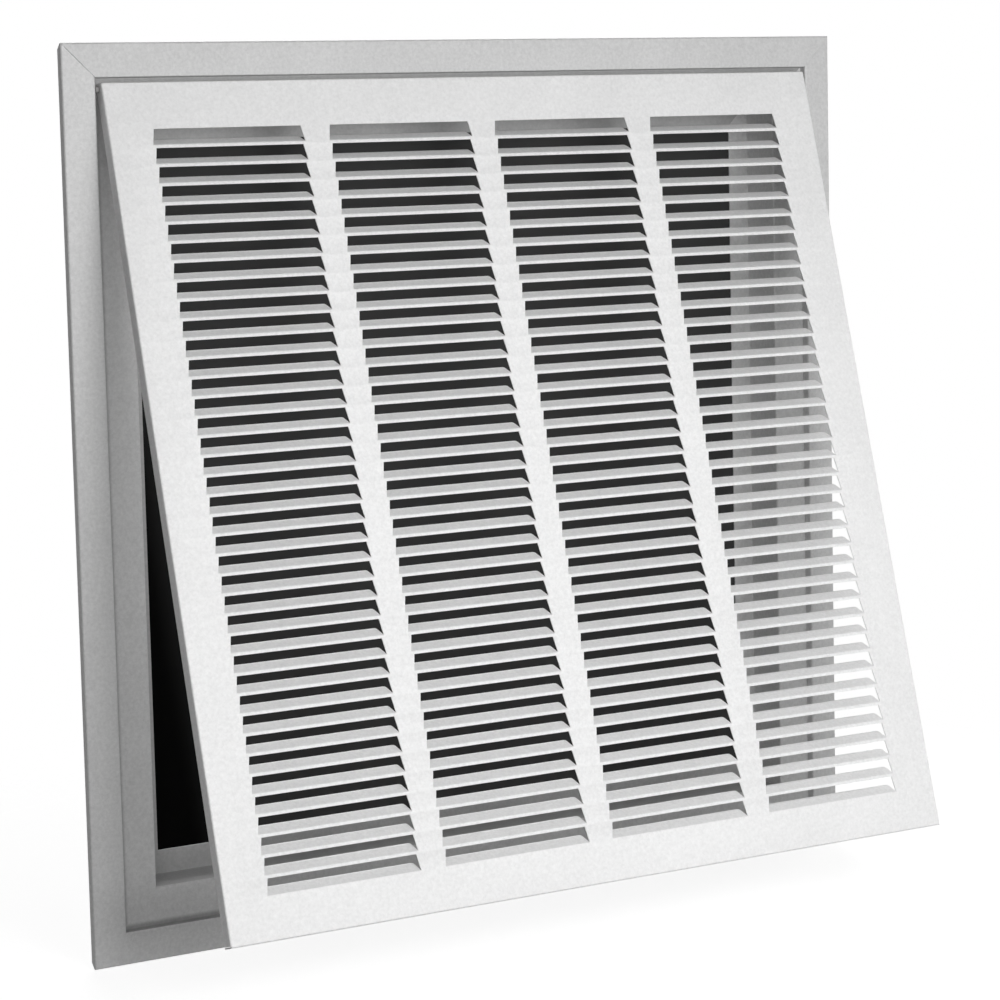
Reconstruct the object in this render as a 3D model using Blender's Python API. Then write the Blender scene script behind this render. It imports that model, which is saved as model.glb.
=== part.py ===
# Return air filter grille. A mitred sheet steel frame seats on the wall around a square duct
# opening, and a door of one lanced and folded sheet hangs on two pins under its top flange.
# Metres, +Z up, front towards -Y. The wall's face is the plane y = 0, and the origin is in
# the middle of the top rail's flat seat on the wall.

import math

import bmesh
import bpy
from mathutils import Matrix, Vector

# Frame
opening_width = 0.508            # clear inside of the neck
opening_height = 0.508
seat_width = 0.025225            # flat ledge between the flange's step and the neck
flange_width = 0.0224            # raised flange around the ledge
flange_edge_height = 0.0055      # flange above the wall at its outer edge
flange_crest_height = 0.0074     # flange above the wall at its inner edge
neck_depth = 0.03175
lip_width = 0.016                # filter stop at the back of the neck
frame_sheet = 0.0009
frame_bend_radius = 0.0005       # inside radius of the frame's folds
return_corner_cut = 0.004        # slant at the ends of the outer return
mitre_gap = 0.0003

# Door
door_sheet = 0.0008
door_bend_radius = 0.0012        # outside radius of the folds round the door
door_proud = 0.0028              # closed door's face in front of the flange's crest
door_side_gap = 0.003
door_bottom_gap = 0.0012
door_open_angle = math.radians(16.0)

# Louvers
column_count = 4
side_margin = 0.031015           # door's side edges to the slots' folds, on average
louver_offset = -0.0015          # how far the slots lie off the door's middle
mullion_width = 0.01758          # plain strip between two columns, at the folds
top_margin = 0.0315              # door's top edge to the first slot
bottom_margin = 0.0245           # least plain strip under the last slot
row_pitch = 0.0127
slot_height = 0.0112
slot_side_slant = math.radians(10.0)   # each side draws in from the fold to the slot's top
blade_fold_radius = 0.0012
blade_angle = math.radians(66.0)
blade_body = 0.0052              # straight part of the blade after its fold
blade_hook_angle = math.radians(40.0)
blade_bend_chord = 0.0009
blade_shear_gap = 0.0001         # between the blade and its slot, before folding
blade_corner = 0.0018            # chamfer at the ends of the free edge

# Hinge
pin_diameter = 0.002
pin_head_diameter = 0.0036
pin_head_height = 0.0009
pin_clearance = 0.0003           # between a pin and each hole, and under each head
hinge_knuckle = 0.003            # pin's axis below the door's top, and its rounded corner
hinge_clearance = 0.0004         # between the rounded corner and the ledge
swing_clearance = 0.0008         # between the door's swinging top edge and the top rail
spacer_diameter = 0.0044

# Corner pieces
seat_gap = 0.0003                # between a joining piece and the sheet that it backs
gusset_sheet = 0.001
gusset_inset = 0.004             # gusset's edges inside the flange's edges
gusset_arm = 0.045
angle_sheet = 0.001
angle_arm = 0.02
angle_setback = 0.004            # behind the wall's face
angle_depth = 0.024

# Snap catches in the bottom rail
catch_from_edge = 0.0945         # catch nose to the frame's outer edge
catch_width = 0.003
catch_sheet = 0.0005
catch_nose_rise = 0.0007         # nose above the step's upper face
catch_nose_half_length = 0.0035
catch_rivet_distance = 0.02      # nose to rivet
catch_tail = 0.005               # leaf beyond the rivet, and beyond the nose
catch_slot_play = 0.0025         # slot beyond the nose at each end
rivet_diameter = 0.0018
rivet_head_diameter = 0.0032
rivet_head_height = 0.0007

bend_steps = 3
round_steps = 20

# Everything below follows from the values above.
frame_border = flange_width + seat_width
frame_width = opening_width + 2 * frame_border
frame_height = opening_height + 2 * frame_border
recess_width = opening_width + 2 * seat_width
recess_height = opening_height + 2 * seat_width
frame_centre_z = flange_width + seat_width / 2 - frame_height / 2

pin_y = -(frame_sheet + hinge_clearance + hinge_knuckle)
pin_to_face = flange_crest_height + door_proud + pin_y
door_top_gap = math.hypot(pin_to_face, hinge_knuckle) - hinge_knuckle + swing_clearance
pin_z = frame_centre_z + recess_height / 2 - door_top_gap - hinge_knuckle
door_width = recess_width - 2 * door_side_gap
door_height = recess_height - door_top_gap - door_bottom_gap
door_return_depth = pin_to_face + hinge_knuckle

slot_width = (door_width - 2 * side_margin - (column_count - 1) * mullion_width) / column_count
row_count = int((door_height - top_margin - bottom_margin) / row_pitch)
slot_draw_in = slot_height * math.tan(slot_side_slant)

step_z = frame_centre_z - recess_height / 2
catch_y = -flange_crest_height / 2


def clear_scene():
    for old in list(bpy.data.objects):
        bpy.data.objects.remove(old, do_unlink=True)


def make_material(name, colour, roughness, metallic):
    material = bpy.data.materials.new(name)
    material.use_nodes = True
    shader = material.node_tree.nodes["Principled BSDF"]
    shader.inputs["Base Color"].default_value = (*colour, 1.0)
    shader.inputs["Roughness"].default_value = roughness
    shader.inputs["Metallic"].default_value = metallic
    return material


def face_outwards(bm):
    bm.normal_update()
    bmesh.ops.recalc_face_normals(bm, faces=bm.faces)


def add_object(name, bm, material, location=(0, 0, 0), rotation=(0, 0, 0)):
    mesh = bpy.data.meshes.new(name)
    bm.to_mesh(mesh)
    bm.free()
    mesh.materials.append(material)
    mesh.shade_smooth()
    mesh.set_sharp_from_angle(angle=math.radians(35))
    item = bpy.data.objects.new(name, mesh)
    item.location = location
    item.rotation_euler = rotation
    bpy.context.scene.collection.objects.link(item)
    return item


def cut(target, cutter):
    modifier = target.modifiers.new(cutter.name, "BOOLEAN")
    modifier.operation = "DIFFERENCE"
    modifier.solver = "EXACT"
    modifier.object = cutter


def add_cutter(name, bm, location=(0, 0, 0)):
    mesh = bpy.data.meshes.new(name)
    face_outwards(bm)
    bm.to_mesh(mesh)
    bm.free()
    item = bpy.data.objects.new(name, mesh)
    item.location = location
    item.hide_render = True
    item.display_type = "WIRE"
    bpy.context.scene.collection.objects.link(item)
    return item


# A folded sheet's section, as pairs of points on its front and its back. The sheet lies to
# the left of the line through the corners, and each corner becomes a bend.
def folded_section(corners, sheet, inside_radius):
    points = [Vector(corner) for corner in corners]
    runs = [(b - a).normalized() for a, b in zip(points, points[1:])]
    lefts = [Vector((-run.y, run.x)) for run in runs]
    pairs = [(points[0], points[0] + lefts[0] * sheet)]
    for corner, run, left, next_run in zip(points[1:-1], runs, lefts, runs[1:]):
        turn = math.atan2(run.cross(next_run), run.dot(next_run))
        side = math.copysign(1.0, turn)
        front_radius = inside_radius + sheet if turn > 0 else inside_radius
        back_radius = inside_radius if turn > 0 else inside_radius + sheet
        setback = front_radius * math.tan(abs(turn) / 2)
        centre = corner - run * setback + left * side * front_radius
        for step in range(bend_steps + 1):
            angle = turn * step / bend_steps
            spoke = Vector((
                -left.x * math.cos(angle) + left.y * math.sin(angle),
                -left.x * math.sin(angle) - left.y * math.cos(angle),
            )) * side
            pairs.append((centre + spoke * front_radius, centre + spoke * back_radius))
    pairs.append((points[-1], points[-1] + lefts[-1] * sheet))
    return pairs


# Extrudes a section of quads into a bar. place gives a point's position at each end.
def bar_from_pairs(pairs, place):
    bm = bmesh.new()
    rows = [[bm.verts.new((p.x, p.y, 0)) for p in pair] for pair in pairs]
    faces = []
    for row, after in zip(rows, rows[1:]):
        faces.append(bm.faces.new((row[0], after[0], after[1], row[1])))
    near = list(bm.verts)
    extruded = bmesh.ops.extrude_face_region(bm, geom=faces)["geom"]
    far = [item for item in extruded if isinstance(item, bmesh.types.BMVert)]
    for end, verts in ((-1, near), (1, far)):
        for vert in verts:
            vert.co = place(vert.co.x, vert.co.y, end)
    face_outwards(bm)
    return bm


# Turns a profile of (along, radius) points about the X axis into a closed solid.
def turned(profile, closed_on_axis=True):
    bm = bmesh.new()
    verts = [bm.verts.new((along, 0, radius)) for along, radius in profile]
    edges = [bm.edges.new(pair) for pair in zip(verts, verts[1:])]
    if not closed_on_axis:
        edges.append(bm.edges.new((verts[-1], verts[0])))
    bmesh.ops.spin(
        bm, geom=verts + edges, cent=(0, 0, 0), axis=(1, 0, 0),
        angle=math.tau, steps=round_steps, use_merge=True, use_duplicate=False,
    )
    bmesh.ops.remove_doubles(bm, verts=bm.verts, dist=0.000001)
    face_outwards(bm)
    return bm


def rail_corners():
    crest = -flange_crest_height
    ledge = -frame_sheet
    return (
        (0, 0),
        (0, -flange_edge_height),
        (flange_width, crest),
        (flange_width, ledge),
        (frame_border, ledge),
        (frame_border, neck_depth),
        (frame_border + lip_width, neck_depth),
    )


# One mitred rail. Its own X runs along it, and its outer edge is its own z = 0.
def add_rail(name, quarter_turns, half_length, half_span, material):
    pairs = folded_section(rail_corners(), frame_sheet, frame_bend_radius)

    def place(inset, y, end):
        reach = half_length - inset - mitre_gap / math.sqrt(2)
        if inset <= 1.5 * frame_sheet and y > -frame_sheet / 2:
            reach -= return_corner_cut
        return Vector((end * reach, y, -inset))

    angle = quarter_turns * math.pi / 2
    location = (
        half_span * math.sin(angle),
        0,
        frame_centre_z + half_span * math.cos(angle),
    )
    return add_object(name, bar_from_pairs(pairs, place), material, location, (0, angle, 0))


# A piece that turns a frame corner: a section of (inset, y) points swept along one arm,
# round the corner and along the other.
def add_corner_piece(name, section, arm, side, level, material):
    bm = bmesh.new()
    half_width = frame_width / 2
    half_height = frame_height / 2

    def at(across, down, y):
        return Vector((
            side * (half_width - across),
            y,
            frame_centre_z + level * (half_height - down),
        ))

    stations = (
        lambda inset, y: at(arm, inset, y),
        lambda inset, y: at(inset, inset, y),
        lambda inset, y: at(inset, arm, y),
    )
    loops = [[bm.verts.new(station(*point)) for point in section] for station in stations]
    bm.faces.new(loops[0])
    bm.faces.new(reversed(loops[-1]))
    count = len(section)
    for loop, after in zip(loops, loops[1:]):
        for index in range(count):
            other = (index + 1) % count
            bm.faces.new((loop[index], loop[other], after[other], after[index]))
    face_outwards(bm)
    return add_object(name, bm, material)


def gusset_section():
    slope = (flange_crest_height - flange_edge_height) / flange_width
    behind = frame_sheet * math.hypot(1, slope) + seat_gap
    points = []
    for inset in (gusset_inset, flange_width - gusset_inset):
        front = -flange_edge_height - slope * inset + behind
        points.append((inset, front))
    (near, near_y), (far, far_y) = points
    return [(near, near_y), (far, far_y), (far, far_y + gusset_sheet), (near, near_y + gusset_sheet)]


def angle_section():
    inner = frame_border - frame_sheet - seat_gap
    outer = inner - angle_sheet
    back = angle_setback + angle_depth
    return [(outer, angle_setback), (inner, angle_setback), (inner, back), (outer, back)]


def door_point(across, down, inward):
    return Vector((across, inward - pin_to_face, hinge_knuckle - down))


# Points up a blade from its fold, as rise, depth behind the face and draw-in at each side.
# Its sides are cut along the slot's slanted sides.
def blade_section():
    points = []
    for angle in (blade_angle / 2, blade_angle):
        rise = blade_fold_radius * math.sin(angle)
        depth = blade_fold_radius * (1 - math.cos(angle))
        draw_in = blade_fold_radius * angle * math.tan(slot_side_slant) + blade_shear_gap
        points.append((rise, depth, draw_in))
    gone = blade_fold_radius * blade_angle
    whole = slot_height - blade_shear_gap
    before_corner = whole - blade_corner - gone - blade_body - blade_bend_chord
    runs = (
        (blade_body, blade_angle, 0),
        (blade_bend_chord, (blade_angle + blade_hook_angle) / 2, 0),
        (before_corner, blade_hook_angle, 0),
        (blade_corner, blade_hook_angle, blade_corner),
    )
    for length, angle, chamfer in runs:
        rise, depth, _ = points[-1]
        gone += length
        draw_in = gone * math.tan(slot_side_slant) + blade_shear_gap + chamfer
        points.append((rise + length * math.cos(angle), depth + length * math.sin(angle), draw_in))
    return points


def add_blade(bm, left_vert, right_vert, left, right, fold):
    for rise, depth, draw_in in blade_section():
        upper_left = bm.verts.new(door_point(left + draw_in, fold - rise, depth))
        upper_right = bm.verts.new(door_point(right - draw_in, fold - rise, depth))
        bm.faces.new((left_vert, right_vert, upper_right, upper_left))
        left_vert, right_vert = upper_left, upper_right


# Folds one edge of the door back. Its ends flare to the door's outline where asked, and the
# knuckle is the round corner about the hinge pin.
def add_return(bm, starts, ends, outward, flares, depth, knuckle=False):
    start_vert, end_vert = starts
    start, end = (Vector(point) for point in ends)
    outward = Vector(outward)
    along = (end - start).normalized()
    for step in range(1, bend_steps + 1):
        angle = math.pi / 2 * step / bend_steps
        out = door_bend_radius * math.sin(angle)
        inward = door_bend_radius * (1 - math.cos(angle))
        first = start + outward * out - along * out * flares[0]
        last = end + outward * out + along * out * flares[1]
        next_start = bm.verts.new(door_point(*first, inward))
        next_end = bm.verts.new(door_point(*last, inward))
        bm.faces.new((start_vert, end_vert, next_end, next_start))
        start_vert, end_vert = next_start, next_end
    outline = [bm.verts.new(door_point(*last, depth))]
    if knuckle:
        for step in range(bend_steps + 2):
            angle = math.pi / 2 * (1 - step / (bend_steps + 1))
            down = hinge_knuckle * (1 - math.cos(angle))
            inward = pin_to_face + hinge_knuckle * math.sin(angle)
            outline.append(bm.verts.new(door_point(first.x, down, inward)))
    else:
        outline.append(bm.verts.new(door_point(*first, depth)))
    bm.faces.new([start_vert, end_vert] + outline)


def add_door(material):
    bm = bmesh.new()
    column_pitch = slot_width + mullion_width
    columns = []
    for index in range(column_count):
        left = side_margin + louver_offset - door_width / 2 + index * column_pitch
        columns += [left, left + slot_width]
    rows = []
    for index in range(row_count):
        top = top_margin + index * row_pitch
        rows += [(top, slot_draw_in), (top + slot_height, 0)]
    grid = []
    for down, draw_in in rows:
        sides = (draw_in, -draw_in) * column_count
        places = [across + shift for across, shift in zip(columns, sides)]
        grid.append([bm.verts.new(door_point(across, down, 0)) for across in places])
    for row in range(len(rows) - 1):
        for column in range(len(columns) - 1):
            corner_verts = (
                grid[row][column],
                grid[row][column + 1],
                grid[row + 1][column + 1],
                grid[row + 1][column],
            )
            if row % 2 == 1 or column % 2 == 1:
                bm.faces.new(corner_verts)
    for row in range(1, len(rows), 2):
        for column in range(0, len(columns), 2):
            add_blade(
                bm, grid[row][column], grid[row][column + 1],
                columns[column], columns[column + 1], rows[row][0],
            )

    side = door_width / 2 - door_bend_radius
    top = door_bend_radius
    bottom = door_height - door_bend_radius
    corners = ((-side, top), (side, top), (side, bottom), (-side, bottom))
    top_left, top_right, bottom_right, bottom_left = (
        bm.verts.new(door_point(*corner, 0)) for corner in corners
    )
    bm.faces.new([top_left, top_right] + grid[0][::-1])
    bm.faces.new([top_right, bottom_right] + [line[-1] for line in grid[::-1]])
    bm.faces.new([bottom_right, bottom_left] + grid[-1])
    bm.faces.new([bottom_left, top_left] + [line[0] for line in grid])

    at_left = (corners[0], corners[3])
    at_right = (corners[1], corners[2])
    add_return(bm, (top_left, top_right), corners[:2], (0, -1), (0, 0), pin_to_face)
    add_return(bm, (bottom_left, bottom_right), corners[:1:-1], (0, 1), (1, 1), door_return_depth)
    add_return(bm, (top_left, bottom_left), at_left, (-1, 0), (1, 0), door_return_depth, True)
    add_return(bm, (top_right, bottom_right), at_right, (1, 0), (1, 0), door_return_depth, True)

    face_outwards(bm)
    bm.faces.ensure_lookup_table()
    if bm.faces[0].normal.y > 0:
        bmesh.ops.reverse_faces(bm, faces=bm.faces)
    door = add_object("door_panel", bm, material, (0, pin_y, pin_z), (-door_open_angle, 0, 0))
    solidify = door.modifiers.new("sheet", "SOLIDIFY")
    solidify.thickness = door_sheet
    solidify.offset = -1
    solidify.use_even_offset = True
    return door


# The pin's outer head stands in the flange's hollow, and its peened head inside the door.
def add_hinge_pin(name, side, material):
    outer_face = recess_width / 2 + frame_sheet + pin_clearance
    inner_face = recess_width / 2 - door_side_gap - door_sheet - pin_clearance
    radius = pin_diameter / 2
    head = pin_head_diameter / 2
    crown = head * 0.6
    profile = (
        (outer_face + pin_head_height, 0),
        (outer_face + pin_head_height, crown),
        (outer_face + pin_head_height / 2, head),
        (outer_face, head),
        (outer_face, radius),
        (inner_face, radius),
        (inner_face, head),
        (inner_face - pin_head_height / 2, head),
        (inner_face - pin_head_height, crown),
        (inner_face - pin_head_height, 0),
    )
    local = [(along - recess_width / 2, r) for along, r in profile]
    turn = 0 if side > 0 else math.pi
    location = (side * recess_width / 2, pin_y, pin_z)
    return add_object(name, turned(local), material, location, (0, 0, turn))


def add_hinge_spacer(name, side, material):
    outer = spacer_diameter / 2
    bore = pin_diameter / 2 + pin_clearance
    half = door_side_gap / 2 - pin_clearance
    profile = ((-half, bore), (half, bore), (half, outer), (-half, outer))
    location = (side * (recess_width - door_side_gap) / 2, pin_y, pin_z)
    return add_object(name, turned(profile, closed_on_axis=False), material, location)


# Leaf spring under the bottom rail's step, with its nose up through a slot. Its own origin
# is on the step's upper face over the nose, and its rivet lies towards the middle.
def add_catch(name, side, material):
    top = -frame_sheet - seat_gap
    nose = catch_nose_half_length
    corners = (
        (-nose - catch_tail, top),
        (-nose, top),
        (0, catch_nose_rise),
        (nose, top),
        (catch_rivet_distance + catch_tail, top),
    )
    pairs = folded_section(corners[::-1], catch_sheet, catch_sheet)

    def place(along, up, end):
        return Vector((-side * along, end * catch_width / 2, up))

    location = (side * (frame_width / 2 - catch_from_edge), catch_y, step_z)
    return add_object(name, bar_from_pairs(pairs, place), material, location)


# Its own X points up, so that it turns like the hinge pins.
def add_catch_rivet(name, side, material):
    radius = rivet_diameter / 2
    head = rivet_head_diameter / 2
    upper = seat_gap
    lower = -frame_sheet - seat_gap - catch_sheet - seat_gap
    profile = (
        (upper + rivet_head_height, 0),
        (upper + rivet_head_height, head * 0.5),
        (upper + rivet_head_height / 2, head * 0.9),
        (upper, head),
        (upper, radius),
        (lower, radius),
        (lower, head),
        (lower - rivet_head_height, head * 0.8),
        (lower - rivet_head_height, 0),
    )
    location = (rivet_x(side), catch_y, step_z)
    return add_object(name, turned(profile), material, location, (0, -math.pi / 2, 0))


def rivet_x(side):
    return side * (frame_width / 2 - catch_from_edge - catch_rivet_distance)


def cylinder(radius, length, axis):
    bm = bmesh.new()
    bmesh.ops.create_cone(
        bm, cap_ends=True, segments=round_steps, radius1=radius, radius2=radius, depth=length,
    )
    if axis == "X":
        turn = Matrix.Rotation(math.pi / 2, 3, "Y")
        bmesh.ops.rotate(bm, verts=bm.verts, cent=(0, 0, 0), matrix=turn)
    return bm


# A slot with round ends, along X, cut through the step from above.
def slot_shape(length, width, height):
    bm = bmesh.new()
    radius = width / 2
    straight = length / 2 - radius
    outline = []
    for step in range(round_steps // 2 + 1):
        angle = math.pi * step / (round_steps // 2) - math.pi / 2
        outline.append((straight + radius * math.cos(angle), radius * math.sin(angle)))
    outline += [(-x, -y) for x, y in outline]
    face = bm.faces.new([bm.verts.new((x, y, -height / 2)) for x, y in outline])
    extruded = bmesh.ops.extrude_face_region(bm, geom=[face])["geom"]
    top = [item for item in extruded if isinstance(item, bmesh.types.BMVert)]
    bmesh.ops.translate(bm, verts=top, vec=(0, 0, height))
    return bm


def add_catch_cuts(side_name, side, bottom_rail, catch):
    through = 4 * frame_sheet
    length = 2 * (catch_nose_half_length + catch_slot_play)
    nose_x = side * (frame_width / 2 - catch_from_edge)
    shape = slot_shape(length, catch_width + 2 * seat_gap, through)
    slot = add_cutter(f"catch_slot_{side_name}", shape, (nose_x, catch_y, step_z))
    hole_shape = cylinder(rivet_diameter / 2 + seat_gap, 2 * through, "Z")
    hole = add_cutter(f"rivet_hole_{side_name}", hole_shape, (rivet_x(side), catch_y, step_z))
    cut(bottom_rail, slot)
    cut(bottom_rail, hole)
    cut(catch, hole)


def main():
    clear_scene()
    white = make_material("white_enamel", (0.82, 0.82, 0.82), 0.4, 0.0)
    zinc = make_material("zinc_steel", (0.62, 0.63, 0.65), 0.35, 1.0)
    spring = make_material("spring_steel", (0.42, 0.43, 0.45), 0.3, 1.0)
    nylon = make_material("nylon", (0.3, 0.3, 0.3), 0.5, 0.0)

    half_width = frame_width / 2
    half_height = frame_height / 2
    add_rail("frame_rail_top", 0, half_width, half_height, white)
    right_rail = add_rail("frame_rail_right", 1, half_height, half_width, white)
    bottom_rail = add_rail("frame_rail_bottom", 2, half_width, half_height, white)
    left_rail = add_rail("frame_rail_left", 3, half_height, half_width, white)

    for level_name, level in (("top", 1), ("bottom", -1)):
        for side_name, side in (("left", -1), ("right", 1)):
            place = f"{level_name}_{side_name}"
            gusset_name = f"corner_gusset_{place}"
            add_corner_piece(gusset_name, gusset_section(), gusset_arm, side, level, zinc)
            angle_end = frame_border - frame_sheet - seat_gap - angle_sheet + angle_arm
            angle_name = f"neck_angle_{place}"
            add_corner_piece(angle_name, angle_section(), angle_end, side, level, zinc)

    door = add_door(white)
    for side_name, side in (("left", -1), ("right", 1)):
        add_hinge_pin(f"hinge_pin_{side_name}", side, zinc)
        add_hinge_spacer(f"hinge_spacer_{side_name}", side, nylon)
    bore_shape = cylinder(pin_diameter / 2 + pin_clearance, recess_width + flange_width, "X")
    hinge_bore = add_cutter("hinge_bore", bore_shape, (0, pin_y, pin_z))
    for holder in (left_rail, right_rail, door):
        cut(holder, hinge_bore)

    for side_name, side in (("left", -1), ("right", 1)):
        catch = add_catch(f"bottom_catch_{side_name}", side, spring)
        add_catch_rivet(f"catch_rivet_{side_name}", side, zinc)
        add_catch_cuts(side_name, side, bottom_rail, catch)


main()
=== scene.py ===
import math

import bmesh
import bpy
from mathutils import Matrix, Vector


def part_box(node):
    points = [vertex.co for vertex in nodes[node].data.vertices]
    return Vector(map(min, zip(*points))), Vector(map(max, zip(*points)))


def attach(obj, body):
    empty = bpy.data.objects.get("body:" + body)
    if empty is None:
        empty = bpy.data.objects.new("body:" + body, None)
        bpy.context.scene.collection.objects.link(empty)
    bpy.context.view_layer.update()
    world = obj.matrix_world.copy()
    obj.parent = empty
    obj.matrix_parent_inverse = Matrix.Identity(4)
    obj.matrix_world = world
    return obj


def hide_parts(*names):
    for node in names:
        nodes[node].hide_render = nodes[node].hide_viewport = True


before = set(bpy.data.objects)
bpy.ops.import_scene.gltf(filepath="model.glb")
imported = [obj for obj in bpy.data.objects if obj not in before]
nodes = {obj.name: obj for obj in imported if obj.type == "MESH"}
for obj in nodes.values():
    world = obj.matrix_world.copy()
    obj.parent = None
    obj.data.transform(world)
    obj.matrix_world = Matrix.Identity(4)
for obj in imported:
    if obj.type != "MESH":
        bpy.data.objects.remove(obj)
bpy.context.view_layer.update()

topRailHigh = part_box("frame_rail_top")[1]
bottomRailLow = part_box("frame_rail_bottom")[0]
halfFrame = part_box("frame_rail_right")[1].x
centreZ = (topRailHigh.z + bottomRailLow.z) / 2
tiny = 1e-6  # metres, for telling whether a vertex lies on a line
print("frame loaded")


class Wire:  # an output socket, so that sums on it add Math nodes
    def __init__(self, sheet, socket):
        self.sheet = sheet
        self.socket = socket

    def __add__(self, other):
        return self.sheet.math("ADD", self, other)

    def __sub__(self, other):
        return self.sheet.math("SUBTRACT", self, other)

    def __rsub__(self, other):
        return self.sheet.math("SUBTRACT", other, self)

    def __mul__(self, other):
        return self.sheet.math("MULTIPLY", self, other)

    def __gt__(self, other):
        return self.sheet.math("GREATER_THAN", self, other)

    def __lt__(self, other):
        return self.sheet.math("LESS_THAN", self, other)

    def __abs__(self):
        return self.sheet.math("ABSOLUTE", self)

    __radd__ = __add__
    __rmul__ = __mul__


class NodeSheet:  # one node tree
    def __init__(self, tree):
        self.tree = tree
        tree.nodes.clear()

    def node(self, kind, settings=None, values=None, output=0):
        made = self.tree.nodes.new(kind)
        for name, value in (settings or {}).items():
            setattr(made, name, value)
        for name, value in (values or {}).items():
            if isinstance(value, Wire):
                self.tree.links.new(value.socket, made.inputs[name])
            else:
                made.inputs[name].default_value = value
        return Wire(self, made.outputs[output]) if made.outputs else None

    def math(self, operation, first, second=0.0):
        return self.node("ShaderNodeMath", {"operation": operation}, {0: first, 1: second})

    def noise(self, where, scale, detail=2.0, roughness=0.5):
        values = {"Vector": where, "Scale": scale, "Detail": detail, "Roughness": roughness}
        return self.node("ShaderNodeTexNoise", None, values)

    def between(self, wire, low, high):  # stretches a 0..1 value to low..high, clamped
        values = {"Value": wire, "From Min": 0.0, "From Max": 1.0, "To Min": low, "To Max": high}
        return self.node("ShaderNodeMapRange", None, values)

    def step(self, wire, start, width):  # a smooth 0 to 1
        values = {"Value": wire, "From Min": start, "From Max": start + width}
        return self.node("ShaderNodeMapRange", {"interpolation_type": "SMOOTHSTEP"}, values)

    def bump(self, height, distance, strength=1.0):
        values = {"Strength": strength, "Distance": distance, "Height": height}
        return self.node("ShaderNodeBump", None, values)

    def mixColour(self, factor, first, second):
        return self.node("ShaderNodeMix", {"data_type": "RGBA"}, {0: factor, 6: first, 7: second}, 2)


def grey(tone, warmth=0.0):
    return (tone * (1 + warmth), tone, tone * (1 - warmth), 1.0)


def newMaterial(name):
    material = bpy.data.materials.new(name)
    material.use_nodes = True
    return material, NodeSheet(material.node_tree)


def closeMaterial(sheet, shader):
    sheet.node("ShaderNodeOutputMaterial", None, {"Surface": shader})


enamel = {
    "doorTone": 0.86,
    # the frame and the door have one white enamel; the frame's darker tone is painted shade
    "frameShadedTone": 0.64,
    "spread": 0.075,          # how far a grain's tone lies above or below that
    "grainScale": 430.0,      # a grain of the powder is about 2.3 mm
    "mottleScale": 22.0,
    "grainShare": 0.75,       # of the grain in the tone, the rest is mottle
    "contrast": (0.3, 0.7),   # the noise between these is stretched over the whole spread
    "roughness": (0.35, 0.49),
    "specular": 0.4,
    "peelScale": 400.0,
    "peelHeight": 0.00006,
    "neckShade": 0.34,        # the share of the tone that painted shade takes away inside the neck
    "neckInset": 0.0472,      # from the frame's edge to just outside the neck's inner face
    "neckDepths": (0.0005, 0.0322),
    "creaseShade": 0.48,      # the same for the painted shade in the crease of the rails' step
    "creaseStart": (0.0219, 0.0004),  # inset and width of each edge of the crease
    "creaseEnd": (0.0234, 0.0036),
    "ledgeDepth": -0.0005,    # inside the ledge's sheet, so that its back keeps its tone
}


def paintNeckAndCreaseShade(sheet, where, colour):  # painted shade: the colour is darker inside the neck and in the step's crease
    across, depth, up = (sheet.node("ShaderNodeSeparateXYZ", None, {0: where}, axis) for axis in "XYZ")
    inset = halfFrame - sheet.math("MAXIMUM", abs(across), abs(up - centreZ))
    front, back = enamel["neckDepths"]
    neckShadeMask = (inset > enamel["neckInset"]) * (depth > front) * (depth < back)
    begins = sheet.step(inset, *enamel["creaseStart"])
    ends = sheet.step(inset, *enamel["creaseEnd"])
    creaseShadeMask = begins * (1 - ends) * (depth < enamel["ledgeDepth"])
    shade = neckShadeMask * enamel["neckShade"] + creaseShadeMask * enamel["creaseShade"]
    return sheet.mixColour(shade, colour, grey(0.0))


def makeEnamel(name, tone, withPaintedShade=False):
    material, sheet = newMaterial(name)
    where = sheet.node("ShaderNodeTexCoord", output="Object")
    grain = sheet.noise(where, enamel["grainScale"], 3.0, 0.65)
    mottle = sheet.noise(where, enamel["mottleScale"], 3.0, 0.55)
    blend = grain * enamel["grainShare"] + mottle * (1 - enamel["grainShare"])
    low, high = enamel["contrast"]
    spread = sheet.node("ShaderNodeMapRange", None, {"Value": blend, "From Min": low, "From Max": high})
    colour = sheet.mixColour(spread, grey(tone - enamel["spread"]), grey(tone + enamel["spread"]))
    # paints shade inside the neck and in the step's crease
    if withPaintedShade:
        colour = paintNeckAndCreaseShade(sheet, where, colour)
    peel = sheet.noise(where, enamel["peelScale"])
    shader = sheet.node("ShaderNodeBsdfPrincipled", None, {
        "Base Color": colour, "Roughness": sheet.between(mottle, *enamel["roughness"]),
        "Normal": sheet.bump(peel, enamel["peelHeight"]), "Specular IOR Level": enamel["specular"],
    })
    closeMaterial(sheet, shader)
    return material


zinc = {
    "darkTone": 0.42,
    "lightTone": 0.66,
    "coolness": -0.01,
    "spangleScale": 130.0,
    "dullScale": 35.0,
    "roughness": (0.28, 0.5),
    "scratchScale": 900.0,
    "scratchHeight": 0.00003,
}


def makeZinc():
    material, sheet = newMaterial("zincSteel")
    where = sheet.node("ShaderNodeTexCoord", output="Object")
    values = {"Vector": where, "Scale": zinc["spangleScale"]}
    cells = sheet.node("ShaderNodeTexVoronoi", None, values, "Color")
    tone = sheet.node("ShaderNodeSeparateColor", None, {"Color": cells})
    dull = sheet.noise(where, zinc["dullScale"], 4.0, 0.6)
    spangle = tone * 0.5 + dull * 0.5
    dark, light = (grey(zinc[key], zinc["coolness"]) for key in ("darkTone", "lightTone"))
    scratch = sheet.noise(where, zinc["scratchScale"])
    shader = sheet.node("ShaderNodeBsdfPrincipled", None, {
        "Base Color": sheet.mixColour(spangle, dark, light), "Metallic": 1.0,
        "Roughness": sheet.between(spangle, *zinc["roughness"]),
        "Normal": sheet.bump(scratch, zinc["scratchHeight"], 0.6),
    })
    closeMaterial(sheet, shader)
    return material


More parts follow.
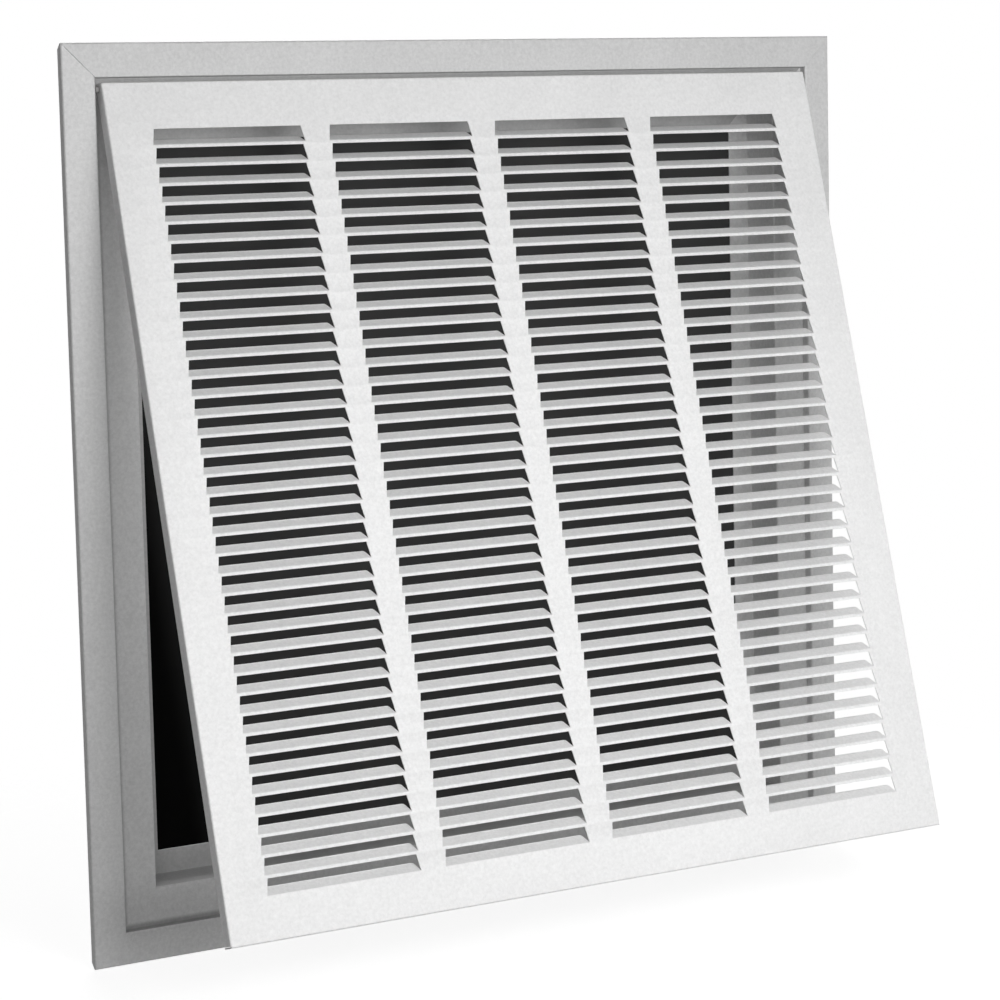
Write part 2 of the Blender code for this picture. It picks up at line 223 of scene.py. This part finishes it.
spring = {
    "darkTone": 0.26,
    "lightTone": 0.40,
    "warmth": 0.02,
    "brushScale": 260.0,
    "brushStretch": 14.0,     # the brushing runs along X
    "brushHeight": 0.00002,
    "roughness": (0.25, 0.43),
}


def makeSpringSteel():
    material, sheet = newMaterial("springSteel")
    where = sheet.node("ShaderNodeTexCoord", output="Object")
    stretch = (1.0, spring["brushStretch"], spring["brushStretch"])
    drawn = sheet.node("ShaderNodeMapping", None, {"Vector": where, "Scale": stretch})
    brush = sheet.noise(drawn, spring["brushScale"], 3.0, 0.6)
    dark, light = (grey(spring[key], spring["warmth"]) for key in ("darkTone", "lightTone"))
    shader = sheet.node("ShaderNodeBsdfPrincipled", None, {
        "Base Color": sheet.mixColour(brush, dark, light), "Metallic": 1.0,
        "Roughness": sheet.between(brush, *spring["roughness"]),
        "Normal": sheet.bump(brush, spring["brushHeight"], 0.5),
    })
    closeMaterial(sheet, shader)
    return material


nylon = {
    "darkTone": 0.24,
    "lightTone": 0.33,
    "flowScale": 320.0,
    "flowHeight": 0.00003,
    "roughness": (0.42, 0.58),
}


def makeNylon():
    material, sheet = newMaterial("nylon")
    where = sheet.node("ShaderNodeTexCoord", output="Object")
    flow = sheet.noise(where, nylon["flowScale"])
    colour = sheet.mixColour(flow, grey(nylon["darkTone"], 0.015), grey(nylon["lightTone"], 0.01))
    shader = sheet.node("ShaderNodeBsdfPrincipled", None, {
        "Base Color": colour, "Roughness": sheet.between(flow, *nylon["roughness"]),
        "Normal": sheet.bump(flow, nylon["flowHeight"], 0.4),
    })
    closeMaterial(sheet, shader)
    return material


doorEnamel = makeEnamel("doorEnamel", enamel["doorTone"])
# the frame's enamels are the door's enamel darkened with painted shade
frameShadedEnamel = makeEnamel("frameShadedEnamel", enamel["frameShadedTone"])
# this one also paints shade inside the neck and in the step's crease
frameCreaseShadedEnamel = makeEnamel("frameCreaseShadedEnamel", enamel["frameShadedTone"], True)
zincMaterial = makeZinc()
springMaterial = makeSpringSteel()
nylonMaterial = makeNylon()
print("finishes made")


def newVerts(made):
    return [item for item in made["geom"] if isinstance(item, bmesh.types.BMVert)]


def everything(bm):
    return bm.verts[:] + bm.edges[:] + bm.faces[:]


def weighNormals(piece):  # large flats keep their own shading beside the small folds
    weigh = piece.modifiers.new("normals", "WEIGHTED_NORMAL")
    weigh.mode = "FACE_AREA"
    weigh.weight = 100
    weigh.keep_sharp = True


def addPiece(name, bm, material, body, replaced, smoothAngle=30.0):
    mesh = bpy.data.meshes.new(name)
    bm.to_mesh(mesh)
    bm.free()
    mesh.materials.append(material)
    mesh.shade_smooth()
    mesh.set_sharp_from_angle(angle=math.radians(smoothAngle))
    piece = bpy.data.objects.new(name, mesh)
    bpy.context.scene.collection.objects.link(piece)
    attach(piece, body)
    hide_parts(*replaced)
    return piece


rail = {
    "flangeWidth": 0.0224,
    "border": 0.047625,
    "edgeHeight": 0.0055,
    "crestHeight": 0.0074,
    "neckDepth": 0.03175,
    "lipWidth": 0.016,
    "sheet": 0.0009,
    "insideRadius": 0.0005,
    "foldSegments": 5,
    "openMitre": 0.0003,       # top left, where a fine line shows
    "closedMitre": 0.00004,    # the other corners, which the enamel fills
    "returnCornerCut": 0.004,
}


def railCorners():  # inset from the frame's edge and depth, along the front of the sheet
    return [
        (0.0, 0.0),
        (0.0, -rail["edgeHeight"]),
        (rail["flangeWidth"], -rail["crestHeight"]),
        (rail["flangeWidth"], -rail["sheet"]),
        (rail["border"], -rail["sheet"]),
        (rail["border"], rail["neckDepth"]),
        (rail["border"] + rail["lipWidth"], rail["neckDepth"]),
    ]


def foldAt(bm, corner, radius):  # rounds the fold that runs through this corner
    inset, depth = corner
    folds = [
        edge for edge in bm.edges
        if all(abs(v.co.y - depth) < tiny and abs(v.co.z + inset) < tiny for v in edge.verts)
    ]
    turn = folds[0].calc_face_angle()
    bmesh.ops.bevel(
        bm, geom=folds, offset=radius * math.tan(turn / 2), offset_type="OFFSET",
        segments=rail["foldSegments"], profile=0.5, affect="EDGES", material=-1,
    )


def buildRail(name, quarterTurns):
    bm = bmesh.new()
    corners = railCorners()
    line = [bm.verts.new((-halfFrame, depth, -inset)) for inset, depth in corners]
    edges = [bm.edges.new(pair) for pair in zip(line, line[1:])]
    far = newVerts(bmesh.ops.extrude_edge_only(bm, edges=edges))
    bmesh.ops.translate(bm, verts=far, vec=(2 * halfFrame, 0, 0))
    bmesh.ops.recalc_face_normals(bm, faces=bm.faces)
    bm.normal_update()
    flange = min(bm.faces, key=lambda face: face.calc_center_median().y)
    if flange.normal.y > 0:
        bmesh.ops.reverse_faces(bm, faces=bm.faces)
    inside = rail["insideRadius"]
    outside = inside + rail["sheet"]
    for index, radius in ((1, outside), (2, outside), (3, inside), (4, outside), (5, inside)):
        foldAt(bm, corners[index], radius)
    bmesh.ops.solidify(bm, geom=bm.faces[:], thickness=rail["sheet"])
    for end in (-1, 1):
        topLeft = (name, end) in (("top", -1), ("left", 1))
        gap = rail["openMitre"] if topLeft else rail["closedMitre"]
        reach = halfFrame - gap / math.sqrt(2)
        bmesh.ops.bisect_plane(
            bm, geom=everything(bm), plane_co=(end * reach, 0, 0), plane_no=(end, 0, -1),
            clear_outer=True,
        )
        bmesh.ops.holes_fill(bm, edges=[edge for edge in bm.edges if edge.is_boundary], sides=0)
        corner = [  # the outer return is cut back where two rails would meet at the wall
            v for v in bm.verts
            if v.co.z > -1.5 * rail["sheet"] and v.co.y > -rail["sheet"] / 2 and v.co.x * end > 0
        ]
        bmesh.ops.translate(bm, verts=corner, vec=(-end * rail["returnCornerCut"], 0, 0))
    bmesh.ops.recalc_face_normals(bm, faces=bm.faces)
    turn = Matrix.Rotation(quarterTurns * math.pi / 2, 4, "Y")
    bmesh.ops.translate(bm, verts=bm.verts, vec=(0, 0, halfFrame))
    bmesh.ops.transform(bm, matrix=Matrix.Translation((0, 0, centreZ)) @ turn, verts=bm.verts)
    node = f"frame_rail_{name}"
    coat = frameShadedEnamel if name == "right" else frameCreaseShadedEnamel  # the right rail gets no painted shade in its neck or crease
    piece = addPiece(f"rail{name.capitalize()}", bm, coat, "frame", [node])
    weighNormals(piece)


for quarterTurns, name in enumerate(("top", "right", "bottom", "left")):
    buildRail(name, quarterTurns)
print("rails folded and mitred")


door = {
    "width": 0.55245,
    "height": 0.552831,
    "sheet": 0.0008,
    "foldRadius": 0.0012,
    "foldSegments": 4,
    "pinY": -0.0043,
    "pinZ": 0.0051936,
    "pinToFace": 0.0059,
    "knuckle": 0.003,          # radius of the side folds' upper ends, round the pin
    "knuckleSegments": 6,
    "openAngle": 16.0,
}

louvers = {
    "columns": 4,
    "rows": 39,
    "leftMargin": 0.029515,
    "topMargin": 0.0315,
    "slotWidth": 0.10942,      # along the fold; the sides draw in above it
    "columnPitch": 0.127,
    "slotHeight": 0.0112,
    "rowPitch": 0.0127,
    "foldRadius": 0.0012,
    "foldSegments": 3,
    "angle": 50.0,
    "body": 0.0064,
    "sideSlant": 10.0,
    "curl": (57.0, 65.0, 72.0, 78.0, 82.0, 85.0),  # the free edge rolls over towards level
    "shearGap": 0.0001,
    "corner": 0.0018,          # radius at the free edge's ends
    "cornerSteps": 4,
    "cornerShare": 0.97,       # so that the last edge keeps some length
}


def bladeSteps():  # rise, depth and draw-in of each bend line up a blade
    radius = louvers["foldRadius"]
    lean = math.radians(louvers["angle"])
    curl = [math.radians(angle) for angle in louvers["curl"]]
    slant = math.tan(math.radians(louvers["sideSlant"]))
    length = louvers["slotHeight"] - louvers["shearGap"]
    points = [(0.0, 0.0, 0.0)]
    for step in range(1, louvers["foldSegments"] + 1):
        angle = lean * step / louvers["foldSegments"]
        drawIn = radius * angle * slant + louvers["shearGap"]
        points.append((radius * math.sin(angle), radius * (1 - math.cos(angle)), drawIn))
    gone = radius * lean

    def go(further, angle, corner=0.0):
        nonlocal gone
        gone += further
        rise, depth, _ = points[-1]
        points.append((
            rise + further * math.cos(angle), depth + further * math.sin(angle),
            gone * slant + louvers["shearGap"] + corner,
        ))

    go(louvers["body"], lean)
    straight = len(curl) - louvers["cornerSteps"]
    beforeCorner = length - gone - louvers["corner"]
    for angle in curl[:straight]:
        go(beforeCorner / straight, angle)
    for step, angle in enumerate(curl[straight:], 1):  # the free edge's corners are rounded off
        turn = math.pi / 2 * step / louvers["cornerSteps"]
        further = length - louvers["corner"] * (1 - math.sin(turn)) - gone
        go(further, angle, louvers["corner"] * (1 - math.cos(turn)) * louvers["cornerShare"])
    return points


def extrudeOn(bm, edges, vector):
    verts = newVerts(bmesh.ops.extrude_edge_only(bm, edges=edges))
    bmesh.ops.translate(bm, verts=verts, vec=vector)
    kept = set(verts)
    return [edge for edge in bm.edges if edge.verts[0] in kept and edge.verts[1] in kept]


def buildDoor():
    bm = bmesh.new()
    radius = door["foldRadius"]
    halfWidth = door["width"] / 2
    low = -(door["height"] - radius)
    panel = bmesh.ops.create_grid(bm, x_segments=1, y_segments=1, size=0.5)["verts"]
    bmesh.ops.rotate(bm, verts=panel, cent=(0, 0, 0), matrix=Matrix.Rotation(math.pi / 2, 3, "X"))
    bmesh.ops.scale(bm, verts=panel, vec=(door["width"] - 2 * radius, 1, -radius - low))
    bmesh.ops.translate(bm, verts=panel, vec=(0, 0, (low - radius) / 2))

    columns = []
    for index in range(louvers["columns"]):
        left = louvers["leftMargin"] - halfWidth + index * louvers["columnPitch"]
        columns.append((left, left + louvers["slotWidth"]))
    rows = []
    for index in range(louvers["rows"]):
        top = -louvers["topMargin"] - index * louvers["rowPitch"]
        rows.append((top, top - louvers["slotHeight"]))
    cuts = [((across, 0, 0), (1, 0, 0)) for pair in columns for across in pair]
    cuts += [((0, 0, up), (0, 0, 1)) for pair in rows for up in pair]
    for place, normal in cuts:
        bmesh.ops.bisect_plane(bm, geom=everything(bm), plane_co=place, plane_no=normal)

    slots = []
    for face in bm.faces:
        middle = face.calc_center_median()
        inColumn = any(left < middle.x < right for left, right in columns)
        if inColumn and any(fold < middle.z < top for top, fold in rows):
            slots.append(face)
    folds = [min(face.edges, key=lambda edge: sum(v.co.z for v in edge.verts)) for face in slots]
    bmesh.ops.delete(bm, geom=slots, context="FACES")
    shrink = louvers["slotHeight"] * math.tan(math.radians(louvers["sideSlant"]))
    for v in bm.verts:  # a slot is narrower at its top than at its fold
        if any(abs(v.co.z - top) < tiny for top, fold in rows):
            for left, right in columns:
                if abs(v.co.x - left) < tiny:
                    v.co.x += shrink
                elif abs(v.co.x - right) < tiny:
                    v.co.x -= shrink

    steps = bladeSteps()
    edges = folds
    for (rise, depth, drawIn), (nextRise, nextDepth, nextDrawIn) in zip(steps, steps[1:]):
        edges = extrudeOn(bm, edges, (0, nextDepth - depth, nextRise - rise))
        ends = [sorted(edge.verts, key=lambda v: v.co.x) for edge in edges]
        bmesh.ops.translate(bm, verts=[a for a, b in ends], vec=(nextDrawIn - drawIn, 0, 0))
        bmesh.ops.translate(bm, verts=[b for a, b in ends], vec=(drawIn - nextDrawIn, 0, 0))

    def foldBack(outward, depth, flares):
        side = Vector(outward)
        limit = max(v.co.dot(side) for v in bm.verts if v.co.y < tiny)
        outline = {v for v in bm.verts if abs(v.co.dot(side) - limit) < tiny and abs(v.co.y) < tiny}
        edges = [edge for edge in bm.edges if edge.is_boundary and outline.issuperset(edge.verts)]
        along = Vector((side.z, 0, -side.x))
        previous = (0.0, 0.0)
        for step in range(1, door["foldSegments"] + 1):
            angle = math.pi / 2 * step / door["foldSegments"]
            out, inward = radius * math.sin(angle), radius * (1 - math.cos(angle))
            move = side * (out - previous[0]) + Vector((0, inward - previous[1], 0))
            edges = extrudeOn(bm, edges, move)
            verts = {v for edge in edges for v in edge.verts}
            for end, flare in ((min, flares[0]), (max, flares[1])):
                tip = end(verts, key=lambda v: v.co.dot(along))
                sign = 1 if end is max else -1
                bmesh.ops.translate(bm, verts=[tip], vec=along * sign * flare * (out - previous[0]))
            previous = (out, inward)
        edges = extrudeOn(bm, edges, (0, depth - radius, 0))
        return {v for edge in edges for v in edge.verts}

    deep = door["pinToFace"] + door["knuckle"]
    foldBack((0, 0, 1), door["pinToFace"], (0, 0))
    foldBack((0, 0, -1), deep, (1, 1))
    for side in (-1, 1):
        # the upper end flares out to the door's outline
        flares = (1, 0) if side > 0 else (0, 1)
        rim = foldBack((side, 0, 0), deep, flares)
        corner = max(rim, key=lambda v: v.co.z)
        bmesh.ops.bevel(
            bm, geom=[corner], offset=door["knuckle"], offset_type="OFFSET",
            segments=door["knuckleSegments"], profile=0.5, affect="VERTICES", material=-1,
        )
    bmesh.ops.recalc_face_normals(bm, faces=bm.faces)
    bm.normal_update()
    onFront = [face for face in bm.faces if abs(face.calc_center_median().y) < tiny]
    if max(onFront, key=lambda face: face.calc_area()).normal.y > 0:
        bmesh.ops.reverse_faces(bm, faces=bm.faces)

    bmesh.ops.translate(bm, verts=bm.verts, vec=(0, -door["pinToFace"], door["knuckle"]))
    swing = Matrix.Rotation(math.radians(-door["openAngle"]), 4, "X")
    hinge = Matrix.Translation((0, door["pinY"], door["pinZ"]))
    bmesh.ops.transform(bm, matrix=hinge @ swing, verts=bm.verts)
    piece = addPiece("doorPanel", bm, doorEnamel, "door", ["door_panel"])
    sheet = piece.modifiers.new("sheet", "SOLIDIFY")
    sheet.thickness = door["sheet"]
    sheet.offset = -1
    sheet.use_even_offset = True
    weighNormals(piece)


buildDoor()
print("door lanced and folded")


for nodeName, node in nodes.items():
    if node.hide_render:
        continue
    if nodeName.startswith("hinge_spacer"):
        finish, slotName = nylonMaterial, "nylon"
    elif nodeName.startswith("bottom_catch"):
        finish, slotName = springMaterial, "spring_steel"
    else:
        finish, slotName = zincMaterial, "zinc_steel"
    node.data.materials.clear()
    node.data.materials.append(finish)
print("small parts finished")


stage = {
    "floorSize": 2.0,
    "floorTone": 0.35,
    "floorGlow": 0.84,        # what camera rays add to the floor, so that it reads as white
    "floorGap": 0.0005,       # under the bottom rail
    "fadeFrom": 0.42,         # the floor fades out into the white between these radii
    "fadeTo": 0.72,
    "voidTone": 0.06,
    "blackTone": 0.004,       # lower left, where no light from the room comes back out
    "blackEdge": 0.21,        # its border runs this far left of the middle
    "blackSlope": 0.16,
    "blackFade": (-0.04, 0.06),  # from this far beside the border, and over this width
    "voidGap": 0.0015,        # behind the lip
    "voidMargin": 0.9,        # the card reaches this share of the lip's width short of the neck
    "voidShade": 0.55,        # the share of the back light that the dark card holds off
    "skyTone": 0.08,
}


def seenDirectly(sheet):  # 1 for the rays that show the background
    seen = None
    for kind in ("Is Camera Ray", "Is Glossy Ray", "Is Transmission Ray"):
        ray = sheet.node("ShaderNodeLightPath", output=kind)
        seen = ray if seen is None else sheet.math("MAXIMUM", seen, ray)
    return seen


def buildFloor():
    bm = bmesh.new()
    bmesh.ops.create_grid(bm, x_segments=1, y_segments=1, size=stage["floorSize"] / 2)
    mesh = bpy.data.meshes.new("floor")
    bm.to_mesh(mesh)
    bm.free()
    material, sheet = newMaterial("paleFloor")
    diffuse = sheet.node("ShaderNodeBsdfDiffuse", None, {"Color": grey(stage["floorTone"])})
    glow = sheet.node("ShaderNodeEmission", None, {
        "Color": grey(1.0), "Strength": seenDirectly(sheet) * stage["floorGlow"],
    })
    both = sheet.node("ShaderNodeAddShader", None, {0: diffuse, 1: glow})
    where = sheet.node("ShaderNodeTexCoord", output="Object")
    radius = sheet.node("ShaderNodeVectorMath", {"operation": "LENGTH"}, {0: where}, "Value")
    fade = sheet.step(radius, stage["fadeFrom"], stage["fadeTo"] - stage["fadeFrom"])
    clear = sheet.node("ShaderNodeBsdfTransparent")
    faded = sheet.node("ShaderNodeMixShader", None, {0: fade, 1: both, 2: clear})
    closeMaterial(sheet, faded)
    mesh.materials.append(material)
    floor = bpy.data.objects.new("floor", mesh)
    floor.location.z = bottomRailLow.z - stage["floorGap"]
    bpy.context.scene.collection.objects.link(floor)


def makeDark():  # dark from the front, clear from behind, and it lets some of the back light in
    material, sheet = newMaterial("darkVoid")
    where = sheet.node("ShaderNodeTexCoord", output="Object")
    across, up = (sheet.node("ShaderNodeSeparateXYZ", None, {0: where}, axis) for axis in "XZ")
    beside = across + (up - centreZ) * stage["blackSlope"] + stage["blackEdge"]
    lit = sheet.step(beside, *stage["blackFade"])
    tone = sheet.mixColour(lit, grey(stage["blackTone"]), grey(stage["voidTone"]))
    dark = sheet.node("ShaderNodeBsdfDiffuse", None, {"Color": tone})
    clear = sheet.node("ShaderNodeBsdfTransparent")
    behind = sheet.node("ShaderNodeNewGeometry", output="Backfacing")
    seen = sheet.node("ShaderNodeLightPath", output="Is Camera Ray")
    shade = (seen * (1 - stage["voidShade"]) + stage["voidShade"]) * (1 - behind)
    both = sheet.node("ShaderNodeMixShader", None, {0: shade, 1: clear, 2: dark})
    closeMaterial(sheet, both)
    return material


def buildVoid():  # a dark card behind the opening, painted shade for the dark inside of the duct
    bm = bmesh.new()
    reach = halfFrame - rail["border"] - rail["lipWidth"] * stage["voidMargin"]
    bmesh.ops.create_grid(bm, x_segments=1, y_segments=1, size=reach)
    bmesh.ops.rotate(bm, verts=bm.verts, cent=(0, 0, 0), matrix=Matrix.Rotation(math.pi / 2, 3, "X"))
    bmesh.ops.translate(bm, verts=bm.verts, vec=(0, rail["neckDepth"] + stage["voidGap"], centreZ))
    mesh = bpy.data.meshes.new("ductVoid")
    bm.to_mesh(mesh)
    bm.free()
    mesh.materials.append(makeDark())
    card = bpy.data.objects.new("ductVoid", mesh)
    bpy.context.scene.collection.objects.link(card)


def buildWorld():
    world = bpy.data.worlds.new("paleWorld")
    world.use_nodes = True
    sheet = NodeSheet(world.node_tree)
    sky = sheet.node("ShaderNodeBackground", None, {"Color": grey(1.0), "Strength": stage["skyTone"]})
    white = sheet.node("ShaderNodeBackground", None, {"Color": grey(1.0), "Strength": 1.0})
    both = sheet.node("ShaderNodeMixShader", None, {0: seenDirectly(sheet), 1: sky, 2: white})
    sheet.node("ShaderNodeOutputWorld", None, {"Surface": both})
    bpy.context.scene.world = world


lamps = [
    {"name": "frontLamp", "at": (0.0, -1.3, 0.15), "size": 0.6, "power": 7.4},
    {"name": "topLamp", "at": (-0.35, -1.5, 0.9), "size": 0.6, "power": 3.3},
    {"name": "sheenLamp", "at": (0.45, -1.0, 0.15), "size": 0.5, "power": 2.6},
    {"name": "leftLamp", "at": (-0.9, -1.0, 0.2), "size": 0.4, "power": 1.7},
    {"name": "backLamp", "at": (1.0, 2.6, 1.0), "size": 1.8, "power": 48.0},
    {"name": "rightLamp", "at": (2.2, 0.8, 0.9), "size": 1.2, "power": 8.0},
]


def aim(item, target):
    item.rotation_euler = (Vector(target) - item.location).to_track_quat("-Z", "Y").to_euler()


def buildLamps():
    centre = Vector((0, 0, centreZ))
    for settings in lamps:
        light = bpy.data.lights.new(settings["name"], "AREA")
        light.shape = "SQUARE"
        light.size = settings["size"]
        light.energy = settings["power"]
        lamp = bpy.data.objects.new(settings["name"], light)
        lamp.visible_camera = False
        lamp.location = centre + Vector(settings["at"])
        aim(lamp, centre)
        bpy.context.scene.collection.objects.link(lamp)


camera = {
    "place": (-1.0426, -1.8102, 0.2520),   # from the middle of the frame's back plane
    "yaw": 30.367,
    "pitch": 6.204,
    "roll": -1.305,
    "lens": 108.75,
    "sensor": 36.0,
    "shiftY": -0.06,
    "clip": (0.05, 60.0),
}


def buildCamera():
    yaw, pitch, roll = (math.radians(camera[key]) for key in ("yaw", "pitch", "roll"))
    forward = Vector((math.sin(yaw), math.cos(yaw), 0))
    right = Vector((math.cos(yaw), -math.sin(yaw), 0))
    up = Vector((0, 0, 1))
    ahead = forward * math.cos(pitch) - up * math.sin(pitch)
    above = up * math.cos(pitch) + forward * math.sin(pitch)
    axisX = right * math.cos(roll) + above * math.sin(roll)
    axisY = above * math.cos(roll) - right * math.sin(roll)
    place = Vector((0, 0, centreZ)) + Vector(camera["place"])
    data = bpy.data.cameras.new("photoCamera")
    data.sensor_width = camera["sensor"]
    data.lens = camera["lens"]
    data.shift_y = camera["shiftY"]
    data.clip_start, data.clip_end = camera["clip"]
    item = bpy.data.objects.new("photoCamera", data)
    turn = Matrix((axisX, axisY, -ahead)).transposed().to_4x4()
    item.matrix_world = Matrix.Translation(place) @ turn
    bpy.context.scene.collection.objects.link(item)
    bpy.context.scene.camera = item


buildFloor()
buildVoid()
buildWorld()
buildLamps()
buildCamera()
bpy.context.scene.view_settings.view_transform = "Standard"
print("stage, lamps and camera set")
